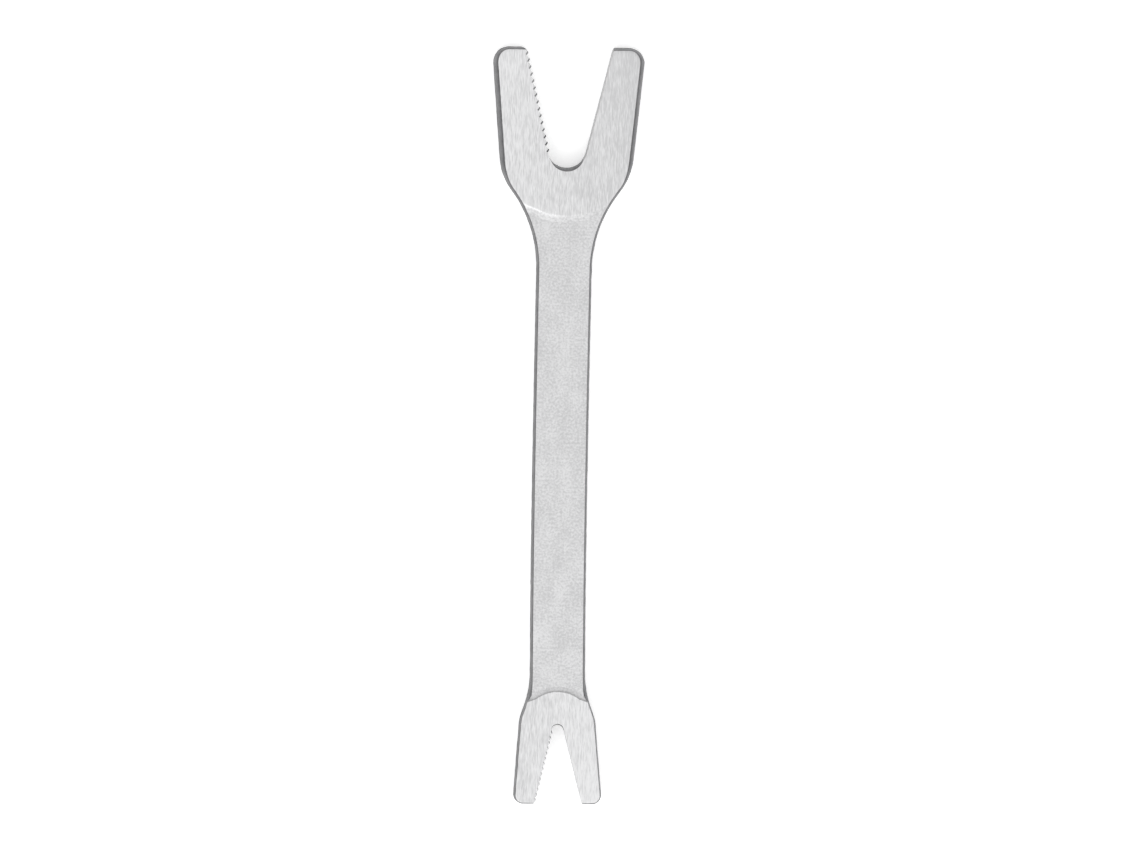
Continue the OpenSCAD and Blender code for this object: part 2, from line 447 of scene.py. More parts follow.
def wallOffsets(inset, softWidth, edged=1.0):  # inset of each level from the parting line
    inset = np.asarray(inset, float)[..., None]
    soft = inset + softWidth * softShares
    share = (1 - np.cos(np.radians(wallTurns))) / (1 - cosine(forging["edgeTurn"]))
    wall = inset * share + edged * forging["flashStep"] * np.array([0, 0, 0, 0, 0.3, 0.7, 1])
    step = np.full(inset.shape[:-1], edged * forging["flashStep"])
    band = np.stack([step, 0 * step], -1)
    return np.concatenate([soft, wall, band], -1)


def wallHeights(half, drop, roll=0.0):  # height of each level above the parting line
    soft = half - roll - drop * dropShares
    wall = half * np.sin(np.radians(wallTurns)) / sine(forging["edgeTurn"])
    wall = np.minimum(wall, soft[-1] - 0.04 * np.arange(1, len(wall) + 1))
    return np.concatenate([soft, wall, [forging["flashLand"] + 0.06, forging["flashLand"]]])


softLevels = len(softShares)
levelCount = softLevels + len(wallTurns) + 2

groundSkin, wallSkin, cutSkin, blastedSkin = range(4)  # the heads' materials, in this order


def waves(points, length, seed, octaves=3):
    out = np.zeros(len(points))
    for o in range(octaves):
        scale, gain = 2.0 ** o / length, 0.55 ** o
        shift = Vector((seed * 17.3 + o * 5.1, seed * 9.7, seed * 3.1))
        out += [gain * noise.noise(Vector(p) * scale + shift) for p in points]
    return out


def smoothstep(a, b, x):
    t = np.clip((np.asarray(x, float) - a) / (b - a), 0, 1)
    return t * t * (3 - 2 * t)


def bowed(points):  # the finished forging isn't quite straight
    k = points[:, 1] / forging["tipY"]
    points[:, 0] -= forging["bow"] * (1 - k * k) * (1 - forging["bowLean"] * k)
    return points


def rawMesh(name, points, faces, finishes, materials):
    mesh = bpy.data.meshes.new(name)
    mesh.from_pydata(np.asarray(points, float).tolist(), [], faces)
    for material in materials:
        mesh.materials.append(bpy.data.materials[material])
    mesh.polygons.foreach_set("material_index", finishes)
    return mesh


def heal(mesh, near):  # one closed skin with its faces outwards; returns open edges and volume
    shell = bmesh.new()
    shell.from_mesh(mesh)
    bmesh.ops.remove_doubles(shell, verts=shell.verts, dist=near)
    bmesh.ops.dissolve_degenerate(shell, edges=shell.edges, dist=near)
    bmesh.ops.recalc_face_normals(shell, faces=shell.faces)
    if shell.calc_volume(signed=True) < 0:
        bmesh.ops.reverse_faces(shell, faces=shell.faces)
    openEdges = sum(1 for e in shell.edges if not e.is_manifold)
    volume = shell.calc_volume(signed=True)
    shell.to_mesh(mesh)
    shell.free()
    return openEdges, volume


def finishPiece(mesh, name, node, side=1):  # in metres, bowed, with crisp breaks
    points = np.zeros(len(mesh.vertices) * 3)
    mesh.vertices.foreach_get("co", points)
    points = points.reshape(-1, 3)
    points[:, 1] *= side
    mesh.vertices.foreach_set("co", (bowed(points) * millimetre).ravel())
    openEdges, volume = heal(mesh, 1e-9)
    mesh.name = name
    mesh.shade_smooth()
    mesh.set_sharp_from_angle(angle=math.radians(forging["crispTurn"]))
    print(f"{name}: {len(mesh.polygons)} faces, {volume / millimetre ** 3:.0f} mm3, {openEdges} open edges")
    piece = bpy.data.objects.new(name, mesh)
    bpy.context.scene.collection.objects.link(piece)
    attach(piece, "root")
    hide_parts(node)


def sideTable(side):  # the tool's whole side, with the small head's half turned round
    small = np.array(side(smallHead))[::-1]
    small[:, 1] *= -1
    small[:, 3] *= -1
    return spaced(np.concatenate([small, np.array(side(largeHead))]), 0.5)


forgedTable, groundTable = sideTable(forgedSide), sideTable(groundSide)


def halfWidth(table, level, y, softWidth):  # half the tool's width at one level of its wall
    offsets = wallOffsets(table[:, 4], softWidth)[:, level]
    x = table[:, 0] - table[:, 2] * offsets
    yy = table[:, 1] - table[:, 3] * offsets
    keep = np.abs(table[:, 1]) < forging["tipY"] - 6  # the sides only, where y always grows
    return np.interp(y, yy[keep], x[keep])


def findCutReach(head):  # half the width of the shank's face where it meets the head
    head["cutReach"] = shankSizes["width"] / 2
    for _ in range(settleSteps):
        y = head["side"] * cutLine(head)
        head["cutReach"] = float(halfWidth(forgedTable, 0, y, shankSizes["softWidth"]))


for head in (largeHead, smallHead):
    findCutReach(head)


def shankGrid():
    sizes = shankSizes
    ends = (-padEdge(smallHead, 0.0), padEdge(largeHead, 0.0))
    share = np.linspace(0, 1, int((ends[1] - ends[0]) / sizes["rowStep"]) + 1)
    inner = np.linspace(-1, 1, sizes["faceColumns"] + 1)[1:-1]
    levels = np.arange(levelCount)
    # columns: the -X wall from the flash band to the face edge, the face, then the +X wall
    columns = [(-1.0, level) for level in levels[::-1]]
    columns += [(u, 0) for u in inner] + [(1.0, level) for level in levels]
    x = np.zeros((len(share), len(columns)))
    y = np.zeros_like(x)
    for c, (u, level) in enumerate(columns):
        yc = ends[0] + (ends[1] - ends[0]) * share
        for _ in range(settleSteps):
            xc = u * halfWidth(forgedTable, level, yc, sizes["softWidth"])
            low, high = -padEdge(smallHead, xc), padEdge(largeHead, xc)
            yc = low + (high - low) * share
        x[:, c], y[:, c] = xc, yc
    heights = wallHeights(forging["shankHalf"], sizes["edgeDrop"])
    z = np.array([heights[level] for _, level in columns])
    return x, y, np.broadcast_to(z, x.shape).copy(), share, columns


def makeShank():
    sizes = shankSizes
    x, y, z, share, columns = shankGrid()
    rows, across = x.shape
    random = np.random.default_rng(sizes["seed"])
    length = y[-1, across // 2] - y[0, across // 2]
    fade = smoothstep(0, sizes["endFade"], share * length)
    fade *= smoothstep(0, sizes["endFade"], (1 - share) * length)
    onFace = np.array([1.0 if level < softLevels else 0.0 for _, level in columns])
    onWall = np.array([1.0 if softLevels <= level < levelCount - 2 else 0.0 for _, level in columns])
    side = np.sign([u for u, _ in columns])
    band = np.array([level >= levelCount - 2 for _, level in columns])
    layers = []
    for front in (1, -1):
        flat = np.stack([x, y, front * z], -1).reshape(-1, 3)
        ripple = waves(flat, sizes["rippleLength"], 1 if front > 0 else 2).reshape(x.shape)
        swell = waves(flat, sizes["swellLength"], 3 if front > 0 else 4, 2).reshape(x.shape)
        rise = sizes["ripple"] * ripple + sizes["swell"] * sizes["ripple"] * swell
        for _ in range(sizes["pits"]):
            px = random.uniform(-sizes["pitSpread"], sizes["pitSpread"])
            py = random.uniform(shankBox[0][1], shankBox[1][1])
            radius = sizes["pitRadius"] * random.uniform(0.6, 1.3)
            depth = sizes["pitDepth"] * random.uniform(0.4, 1.2)
            reach = np.hypot((x - px) * random.uniform(0.8, 1.25), y - py) / radius
            inside = np.clip(1 - reach, 0, 1)
            rise -= depth * inside ** 2 * (3 - 2 * inside)
        zz = z + rise * fade[:, None] * onFace
        bulge = sizes["wallRipple"] * sizes["ripple"] * ripple + sizes["wallSwell"] * sizes["ripple"] * swell
        xx = x + side * bulge * fade[:, None] * onWall
        layers.append((xx, zz))
    # the trimmed band is ragged, and both faces share it
    trimLeft = waves(np.stack([x[:, 0], y[:, 0], 0 * y[:, 0]], -1), forging["trimLength"], 5)
    trimRight = waves(np.stack([x[:, -1], y[:, -1], 0 * y[:, -1]], -1), forging["trimLength"], 6)
    points, faces, finishes = [], [], []
    for front, (xx, zz) in zip((1, -1), layers):
        for c in np.nonzero(band)[0]:
            xx[:, c] += side[c] * forging["shankTrim"] * (trimLeft if side[c] < 0 else trimRight) * fade
        points.append(np.stack([xx, y, forging["middleZ"] + front * zz], -1).reshape(-1, 3))
    points = np.concatenate(points)
    half = rows * across

    def at(layer, r, c):
        return layer * half + r * across + c

    for layer in (0, 1):
        for r in range(rows - 1):
            for c in range(across - 1):
                level = max(columns[c][1], columns[c + 1][1])
                near, far = at(layer, r, c), at(layer, r + 1, c)
                faces.append((near, near + 1, far + 1, far))
                finishes.append(0 if level < softLevels - 1 else 1)
    for r in range(rows - 1):  # the trimmed band, between the two halves
        for c in (0, across - 1):
            faces.append((at(0, r, c), at(0, r + 1, c), at(1, r + 1, c), at(1, r, c)))
            finishes.append(1)
    for r in (0, rows - 1):  # the ends, inside the forging
        for c in range(across - 1):
            faces.append((at(0, r, c), at(0, r, c + 1), at(1, r, c + 1), at(1, r, c)))
            finishes.append(1)
    mesh = rawMesh("shank", points, faces, finishes, ["blastedSteel", "forgedWallPaintedShade"])
    finishPiece(mesh, "shankForging", "shank")
    # the face's points along both end rows, as for a head at +Y, which the heads start from
    face = slice(levelCount, across - levelCount)
    return {end: np.stack([x[r, face], end * y[r, face], z[r, face]], -1) for end, r in ((1, -1), (-1, 0))}


shankEnds = makeShank()


# A station holds the outline's point and outward normal, then the inset of every wall level
def station(point, normal, offsets, kind):
    point, normal, offsets = np.array(point, float), np.array(normal, float), np.array(offsets, float)
    return {"xy": point - offsets[:, None] * normal, "normal": normal, "kind": kind}


def cornerStation(a, b, kind):  # where two edges meet, each a (point, normal, offsets)
    both = np.array([a[1], b[1]])
    reach = np.stack([np.dot(a[0], a[1]) - a[2], np.dot(b[0], b[1]) - b[2]], -1)
    normal = np.array(a[1]) + np.array(b[1])
    return {"xy": np.linalg.solve(both, reach.T).T, "normal": normal / np.linalg.norm(normal), "kind": kind}


def flipped(stations):  # the same stations on the other side of the tool
    out = []
    for s in reversed(stations):
        out.append({**s, "xy": s["xy"] * [-1, 1], "normal": s["normal"] * [-1, 1]})
    return out


bevel = 0.12  # width of the broken edge round a ground face
# How uneven the walls are, how ragged the face edge is, and where both start past the neck
wallNoise = {"size": 0.035, "length": 5.0, "edgeSize": 0.07, "edgeLength": 1.7, "start": (0.6, 4)}
rollStart = (0.4, 4)  # where a ground face starts to fall off, past the neck


teeth = {
    "longAngle": 25,  # slope of a tooth's long face to the jaw
    "shortAngle": 46,  # slope of its short face, which looks towards the throat
    "land": 0.06,  # how far the crests are worn down
    "flareHeight": 0.7,  # how far below the faces the grooves start to open out
    "firstCrest": 0.15,  # where the crests begin, from the throat
    "uneven": 0.03,  # how far the cutting strays
    "seed": 4,
}


def toothDepth(head):
    return head["toothPitch"] / (1 / tangent(teeth["longAngle"]) + 1 / tangent(teeth["shortAngle"]))


def jawFrame(head):  # the toothed jaw: its start at the throat, its direction, its outward normal
    a, r = head["jawAngle"], head["throatRadius"]
    throat = np.array([0, forging["tipY"] - head["mouth"] + r])
    along, into = np.array([-sine(a), cosine(a)]), np.array([cosine(a), sine(a)])
    length = (head["mouth"] - r * (1 - sine(a))) / cosine(a)
    return throat, throat - r * into, along, into, length


jawStep = 1.0  # between the stations along a jaw
tipGap = 1.5  # they stop this far from the tip
throatSteps = 49


def lastTooth(head):
    length = jawFrame(head)[-1]
    return math.floor((length - toothDepth(head) / tangent(teeth["shortAngle"])) / head["toothPitch"])


def tipCorner(jawLine, size, kind):  # the chamfered inner corner of the +X tip, two stations
    endOffsets = wallOffsets(forging["endEdge"], bevel)
    end = (np.array([0, forging["tipY"]]), np.array([0, 1.0]), endOffsets)
    flush = 0 * endOffsets
    corner = cornerStation((*end[:2], flush), (*jawLine[:2], flush), kind)["xy"][0]
    back = np.array([-jawLine[1][1], jawLine[1][0]])  # along the jaw, away from the tip
    ends = corner + [size, 0], corner + size * back
    slope = ends[1] - ends[0]
    normal = np.array([slope[1], -slope[0]]) / np.linalg.norm(slope)
    if normal[0] > 0:
        normal = -normal
    inset = (forging["endEdge"] + bevel - size) / math.sqrt(2) + bevel
    chamfer = (ends[0], normal, wallOffsets(max(inset, 0.2), bevel))
    return [cornerStation(end, chamfer, kind), cornerStation(chamfer, jawLine, kind)]


def outerStations(head):  # the +X side, from the cut to the tip's end
    out = []
    side = head["side"]
    cut = cutLine(head)
    for k, part in enumerate(slopeParts):
        y = cut + wallClimb * head["padSlope"] * part
        x = []
        for level in range(levelCount):
            below = float(halfWidth(forgedTable, level, side * y, shankSizes["softWidth"]))
            above = float(halfWidth(groundTable, level, side * y, bevel))
            x.append(below + (above - below) * part)
        xy = np.stack([x, np.full(levelCount, y)], -1)
        out.append({"xy": xy, "normal": outward(head["shoulder"] * 0.8), "kind": "outer", "step": k})
    first = out[-1]["xy"][0, 1] + 0.3
    for row in spaced(groundSide(head), 0.8):
        if row[1] > first:
            out.append(station(row[:2], row[2:4], wallOffsets(row[4], bevel), "outer"))
    return out


def mouthStations(head):  # the smooth jaw, the throat and the toothed jaw, from the +X tip round
    throat, start, along, into, length = jawFrame(head)
    mirror = np.array([-1, 1])
    plain = wallOffsets(0.0, bevel, 0)
    smoothLine = (start * mirror, into * mirror, plain)
    out = tipCorner(smoothLine, head["cornerSmooth"], "outer")
    out[-1]["kind"] = "jaw"
    for s in np.arange(length - tipGap, 0.2, -jawStep):
        out.append(station((start + s * along) * mirror, into * mirror, plain, "jaw"))
    sweep = 90 - head["jawAngle"]
    dark = head["throatTurn"]
    for f in np.linspace(sweep, -sweep, throatSteps):
        down = np.array([sine(f), -cosine(f)])
        inset = head["throatEdge"] * max(0, (cosine(f) - cosine(dark)) / (1 - cosine(dark)))
        kind = "throat" if abs(f) < dark else "jaw"
        offsets = wallOffsets(inset, bevel, 0)
        out.append(station(throat + head["throatRadius"] * down, -down, offsets, kind))
    # the toothed jaw stands at the height of the worn crests, and the grooves are cut later
    depth = toothDepth(head)
    crest = depth - teeth["land"]
    last = lastTooth(head)
    crestEnd = last * head["toothPitch"] + depth / tangent(teeth["shortAngle"])
    crestEnd += teeth["land"] / tangent(teeth["longAngle"])
    for s in np.arange(teeth["firstCrest"], min(crestEnd, length - tipGap) - 0.3, jawStep):
        out.append(station(start + s * along + crest * into, into, plain, "jaw"))
    lastRoot = (last + 1) * head["toothPitch"]
    if lastRoot < length:  # the last long face runs out through the tip's end
        long = teeth["longAngle"]
        a = start + crestEnd * along + crest * into
        slope = cosine(long) * into + sine(long) * along
        jawLine = (a, slope, plain)
        out.append(station(a, into, plain, "jaw"))
    else:
        jawLine = (start + crest * into, into, plain)
    flippedLine = (jawLine[0] * mirror, jawLine[1] * mirror, plain)
    out += flipped(tipCorner(flippedLine, head["cornerToothed"], "outer"))
    return out


def endStations(outer, mouthCorner):  # a tip's straight end, from its rounded corner to the mouth
    far, near = outer[-1]["xy"][:, 0].min(), mouthCorner[:, 0].max()
    offsets = wallOffsets(forging["endEdge"], bevel)
    places = np.arange(far - 0.6, near + 0.3, -0.9)
    return [station((x, forging["tipY"]), (0, 1), offsets, "outer") for x in places]


def distanceTo(points, line):  # from each point to an open polyline
    best = np.full(len(points), 1e9)
    for a, b in zip(line, line[1:]):
        d = b - a
        t = np.clip(((points - a) @ d) / max(d @ d, 1e-12), 0, 1)
        best = np.minimum(best, np.linalg.norm(points - a - t[:, None] * d, axis=1))
    return best


def insideLoop(points, loop):
    inside = np.zeros(len(points), bool)
    for a, b in zip(loop, np.roll(loop, -1, axis=0)):
        crosses = (a[1] > points[:, 1]) != (b[1] > points[:, 1])
        with np.errstate(divide="ignore", invalid="ignore"):
            x = (b[0] - a[0]) * (points[:, 1] - a[1]) / (b[1] - a[1]) + a[0]
        inside ^= crosses & (points[:, 0] < x)
    return inside


def rollOff(head, points, outerLine):  # how far a ground face has fallen away near its edge
    d = distanceTo(points, outerLine)
    tip = smoothstep(forging["tipY"] - 2.2 * head["tipRollWidth"], forging["tipY"] - 1, points[:, 1])
    depth = head["flankRoll"] + (head["tipRoll"] - head["flankRoll"]) * tip
    width = head["flankRollWidth"] + (head["tipRollWidth"] - head["flankRollWidth"]) * tip
    fade = smoothstep(*(cutLine(head) + start for start in rollStart), points[:, 1])
    return fade * depth * np.clip(1 - d / width, 0, 1) ** 2.2


# The pits along the ground pad's rim, and the small marks that make up a scratch
padMarks = {"arc": 0.8, "stray": 1, "inset": (0.6, 1.3), "radius": (0.22, 0.36), "depth": (0.03, 0.08)}
scratchMarks = {"spacing": 0.3, "radius": 0.15, "depth": 0.03}


def dentsOf(head, front):  # the marks in one ground face, each an x, y, radius and depth
    random = np.random.default_rng(head["padPits"] + front)
    dents = list(head["dents"]) if front > 0 else []
    for turn in np.linspace(-padMarks["arc"], padMarks["arc"], head["padPits"]) * head["padTurn"]:
        reach = head["padRadius"] - random.uniform(*padMarks["inset"])
        turn += random.uniform(-padMarks["stray"], padMarks["stray"])
        size, depth = random.uniform(*padMarks["radius"]), random.uniform(*padMarks["depth"])
        dents.append((reach * sine(turn), padCentre(head) - reach * cosine(turn), size, depth))
    if front > 0:
        a, b = (np.array(end) for end in head["scratch"])
        count = int(np.linalg.norm(b - a) / scratchMarks["spacing"])
        mark = (scratchMarks["radius"], scratchMarks["depth"])
        dents += [(*(a + (b - a) * (i + 0.5) / count), *mark) for i in range(count)]
    return np.array(dents)


def dented(points, dents):  # how far each point lies below the face
    fall = np.zeros(len(points))
    for x, y, radius, depth in dents:
        reach = np.hypot(points[:, 0] - x, points[:, 1] - y) / radius
        fall = np.maximum(fall, depth * np.clip(1 - reach ** 2, 0, 1) ** 1.5)
    return fall


def thinned(group, chosen, apart):  # leaves out what is too near to a point that is already there
    kept = list(chosen)
    for p in group:
        if not kept or np.min(np.sum((np.array(kept[-500:]) - p) ** 2, axis=1)) > apart ** 2:
            if not len(chosen) or np.min(np.sum((chosen - p) ** 2, axis=1)) > apart ** 2:
                kept.append(p)
    return np.array(kept)


edgeRings = (0.3, 0.75, 1.3, 2.0)  # rows of points this far inside a ground face's edge


def facePoints(head, loop, stations, dents):  # points inside a ground face, closer near its edge
    marks = []
    for x, y, radius, _ in dents:
        marks.append((x, y))
        for share, count in ((0.5, 6), (1.0, 8)):
            turns = 2 * np.pi * np.arange(count) / count
            marks += [(x + share * radius * math.cos(t), y + share * radius * math.sin(t)) for t in turns]
    near = []
    for distance in edgeRings:
        near += [s["xy"][0] - distance * s["normal"] for s in stations[4:-4]]
    step = head["gridStep"]
    xs = np.arange(loop[:, 0].min(), loop[:, 0].max(), step)
    ys = np.arange(loop[:, 1].min(), loop[:, 1].max(), step * 0.87)
    grid = [(x + (i % 2) * step / 2, y) for i, y in enumerate(ys) for x in xs]
    closed = np.concatenate([loop, loop[:1]])
    chosen = np.zeros((0, 2))
    for group, fromEdge, apart in ((marks, 0.12, 0.06), (near, 0.25, 0.4), (grid, 0.6, step * 0.62)):
        group = np.array(group)
        group = group[insideLoop(group, loop)]
        group = group[distanceTo(group, closed) > fromEdge]
        chosen = thinned(group, chosen, apart)
    return chosen


def headMesh(head, name):
    inner = shankEnds[head["side"]]  # where the shank's face ends
    outer = outerStations(head)
    mouth = mouthStations(head)
    rightEnd, leftEnd = endStations(outer, mouth[0]["xy"]), endStations(outer, -mouth[-1]["xy"])
    stations = outer + rightEnd + mouth + flipped(outer + leftEnd)
    count = len(stations)
    rightLine = np.array([s["xy"][0] for s in outer + rightEnd])
    leftLine = np.array([s["xy"][0] for s in flipped(outer + leftEnd)])
    cut = cutLine(head)
    points, faces, finishes = [], [], []
    rings = {}
    faceLevel = {}
    for front in (1, -1):
        xy = np.array([s["xy"] for s in stations])
        edge = xy[:, 0]
        roll = rollOff(head, edge, rightLine) + rollOff(head, edge, leftLine)
        flat = wallHeights(forging["headHalf"], forging["headEdgeDrop"])
        shankFlat = wallHeights(forging["shankHalf"], shankSizes["edgeDrop"])
        z = np.array([wallHeights(forging["headHalf"], forging["headEdgeDrop"], r) for r in roll])
        for i, s in enumerate(stations):
            if s.get("step") is not None:
                k = slopeRises[s["step"]]
                z[i] = shankFlat + (flat - shankFlat) * k
        # the wall isn't quite even, as forged
        solid = np.concatenate([xy, (front * z)[..., None]], -1).reshape(-1, 3)
        rough = waves(solid, wallNoise["length"], 11 * head["side"] + 3).reshape(count, levelCount)
        ragged = waves(solid * [1, 1, 0], forging["trimLength"], 5).reshape(count, levelCount)
        chipped = waves(np.column_stack([edge, np.full(count, front * 9.0)]), wallNoise["edgeLength"], 8)
        fade = smoothstep(*(cut + start for start in wallNoise["start"]), xy[..., 1])
        normals = np.array([s["normal"] for s in stations])
        fromMouth = np.array([{"outer": 1.0, "throat": 0.25, "jaw": 0.0}[s["kind"]] for s in stations])
        fromMouth[len(outer + rightEnd) - 1:len(outer + rightEnd) + 2] = 0
        fromMouth[-len(outer + leftEnd) - 2:-len(outer + leftEnd) + 1] = 0
        wallPart = np.array([1.0] * (levelCount - 2) + [0, 0])
        shift = wallNoise["size"] * rough * wallPart + forging["headTrim"] * ragged * (1 - wallPart)
        shift[:, :softLevels] += wallNoise["edgeSize"] * np.clip(chipped, 0, 1)[:, None]
        xy = xy - normals[:, None, :] * (shift * fade * fromMouth[:, None])[..., None]
        base = len(points)
        rings[front] = base + np.arange(count * levelCount).reshape(count, levelCount)
        for i in range(count):
            for level in range(levelCount):
                points.append((*xy[i, level], forging["middleZ"] + front * z[i, level]))
        # the slope down from the pad to the shank, from the -X wall to the +X wall
        uphill = np.stack([-inner[:, 0], padCentre(head) - inner[:, 1]], -1)
        uphill /= np.linalg.norm(uphill, axis=1)[:, None]
        slope = []
        for part, k in zip(slopeParts, slopeRises):
            start = len(points)
            where = inner[:, :2] + uphill * head["padSlope"] * part
            height = inner[:, 2] + (forging["headHalf"] - inner[:, 2]) * k
            for (x, y), h in zip(where, height):
                points.append((x, y, forging["middleZ"] + front * h))
            i = len(slope)
            left, right = rings[front][count - 1 - i, 0], rings[front][i, 0]
            slope.append([left, *range(start, start + len(inner)), right])
        for strip, (a, b) in enumerate(zip(slope, slope[1:])):
            for c in range(len(a) - 1):
                faces.append((a[c], a[c + 1], b[c + 1], b[c]))
                finishes.append(blastedSkin if strip < 2 else groundSkin)
        faceLevel[front] = slope[0]
        # the ground face
        loop = [int(i) for i in rings[front][3:count - 3, 0]] + slope[-1][1:-1]
        loopXY = np.array([points[i][:2] for i in loop])
        dents = dentsOf(head, front)
        extra = facePoints(head, loopXY, stations, dents)
        relief = waves(np.column_stack([extra, np.full(len(extra), front * 4.0)]), 9, 21)
        fall = rollOff(head, extra, rightLine) + rollOff(head, extra, leftLine)
        start = len(points)
        fall += head["relief"] * np.clip(0.5 + relief, 0, 1) + dented(extra, dents)
        for (x, y), drop in zip(extra, fall):
            points.append((x, y, forging["middleZ"] + front * (forging["headHalf"] - drop)))
        everyXY = [Vector(p) for p in np.concatenate([loopXY, extra])]
        made = delaunay_2d_cdt(everyXY, [], [list(range(len(loop)))], 1, 1e-5)
        ids = loop + list(range(start, start + len(extra)))
        for triangle in made[2]:
            corners = [ids[made[3][v][0]] for v in triangle]
            if len(set(corners)) == 3:
                faces.append(tuple(corners))
                finishes.append(groundSkin)
    blasted = (0, 1, count - 3, count - 2)  # the wall's strips beside the slope
    for i in range(count - 1):
        kinds = (stations[i]["kind"], stations[i + 1]["kind"])
        # both wall steels carry painted shade in their colour
        wall = cutSkin if kinds == ("jaw", "jaw") else wallSkin
        edge = blastedSkin if i in blasted else groundSkin
        for front in (1, -1):
            a, b = rings[front][i], rings[front][i + 1]
            for level in range(levelCount - 1):
                faces.append((a[level], a[level + 1], b[level + 1], b[level]))
                finishes.append(edge if level < softLevels - 1 else wall)
        a, b = rings[1][i:i + 2, -1], rings[-1][i:i + 2, -1]
        faces.append((a[0], b[0], b[1], a[1]))
        finishes.append(wall)
    # the cut face, inside the forging
    upper = [*rings[1][-1][::-1], *faceLevel[1][1:-1], *rings[1][0]]
    lower = [*rings[-1][-1][::-1], *faceLevel[-1][1:-1], *rings[-1][0]]
    for c in range(len(upper) - 1):
        faces.append((upper[c], upper[c + 1], lower[c + 1], lower[c]))
        finishes.append(wallSkin)
    faces = [tuple(int(v) for v in f) for f in faces]
    mesh = rawMesh(name, points, faces, finishes, ["groundSteel", "forgedWallPaintedShade", "cutSteelPaintedShade", "blastedSteel"])
    print(f"{name} blank: %d open edges, %.0f mm3" % heal(mesh, 1e-4))
    return mesh


# One groove cutter, a V that opens out on the throat side towards both faces
def grooveCutter(head):
    _, start, along, into, _ = jawFrame(head)
    over = toothDepth(head) + 0.6  # the cutters stand out above the crests
    shortRun, longRun = over / tangent(teeth["shortAngle"]), over / tangent(teeth["longAngle"])
    back = np.array([sine(teeth["shortAngle"]), -cosine(teeth["shortAngle"])])
    levels = []
    half = forging["headHalf"]
    far, flareStart = half + 1, half - teeth["flareHeight"]
    for z in (-far, -flareStart, flareStart, far):
        flare = head["grooveFlare"] * max(0.02, (abs(z) - half) / teeth["flareHeight"] + 1) * back
        corners = [np.array([-longRun, over]), np.zeros(2), flare, np.array([shortRun, over]) + flare]
        levels.append([(*(start + s * along + d * into), forging["middleZ"] + z) for s, d in corners])
    points = [p for level in levels for p in level]
    faces = [(3, 2, 1, 0), (12, 13, 14, 15)]
    for j in range(3):
        for i in range(4):
            a, b = j * 4 + i, j * 4 + (i + 1) % 4
            faces.append((a, b, b + 4, a + 4))
    mesh = rawMesh("groove", points, faces, [0] * len(faces), ["cutSteelPaintedShade"])
    heal(mesh, 1e-4)
    return bpy.data.objects.new("groove", mesh), along * head["toothPitch"]


def toothTree():  # a row of groove cutters along the toothed jaw
    tree = bpy.data.node_groups.new("toothGrooves", "GeometryNodeTree")
    face = tree.interface
    for name, kind in (
        ("Geometry", "Geometry"), ("Groove", "Object"), ("Grooves", "Int"),
        ("Pitch along the jaw", "Vector"), ("Uneven cutting", "Float"), ("Steel", "Material"),
    ):
        face.new_socket(name, in_out="INPUT", socket_type="NodeSocket" + kind)
    face.new_socket("Geometry", in_out="OUTPUT", socket_type="NodeSocketGeometry")
    nodes = tree.nodes
    given, result = nodes.new("NodeGroupInput"), nodes.new("NodeGroupOutput")
    cutter, row = nodes.new("GeometryNodeObjectInfo"), nodes.new("GeometryNodeMeshLine")
    row.mode = "OFFSET"
    jitter = nodes.new("FunctionNodeRandomValue")
    jitter.data_type = "FLOAT_VECTOR"
    jitter.inputs["Min"].default_value = (-1, -1, 0)
    jitter.inputs["Max"].default_value = (1, 1, 0)
    jitter.inputs["Seed"].default_value = teeth["seed"]
    scaled = nodes.new("ShaderNodeVectorMath")
    scaled.operation = "SCALE"
    move = nodes.new("GeometryNodeSetPosition")
    placed, real = nodes.new("GeometryNodeInstanceOnPoints"), nodes.new("GeometryNodeRealizeInstances")
    steel = nodes.new("GeometryNodeSetMaterial")
    for start, end in (
        (given.outputs["Groove"], cutter.inputs["Object"]),
        (given.outputs["Grooves"], row.inputs["Count"]),
        (given.outputs["Pitch along the jaw"], row.inputs["Offset"]),
        (jitter.outputs["Value"], scaled.inputs["Vector"]),
        (given.outputs["Uneven cutting"], scaled.inputs["Scale"]),
        (row.outputs["Mesh"], move.inputs["Geometry"]),
        (scaled.outputs["Vector"], move.inputs["Offset"]),
        (move.outputs["Geometry"], placed.inputs["Points"]),
        (cutter.outputs["Geometry"], placed.inputs["Instance"]),
        (placed.outputs["Instances"], real.inputs["Geometry"]),
        (real.outputs["Geometry"], steel.inputs["Geometry"]),
        (given.outputs["Steel"], steel.inputs["Material"]),
        (steel.outputs["Geometry"], result.inputs["Geometry"]),
    ):
        tree.links.new(start, end)
    return tree


def setInputs(modifier, values):
    for item in modifier.node_group.interface.items_tree:
        if item.in_out == "INPUT" and item.name in values:
            modifier[item.identifier] = values[item.name]


def plainMesh(piece):  # the evaluated object as a mesh of its own
    bpy.context.view_layer.update()
    depsgraph = bpy.context.evaluated_depsgraph_get()
    return bpy.data.meshes.new_from_object(piece.evaluated_get(depsgraph), depsgraph=depsgraph)


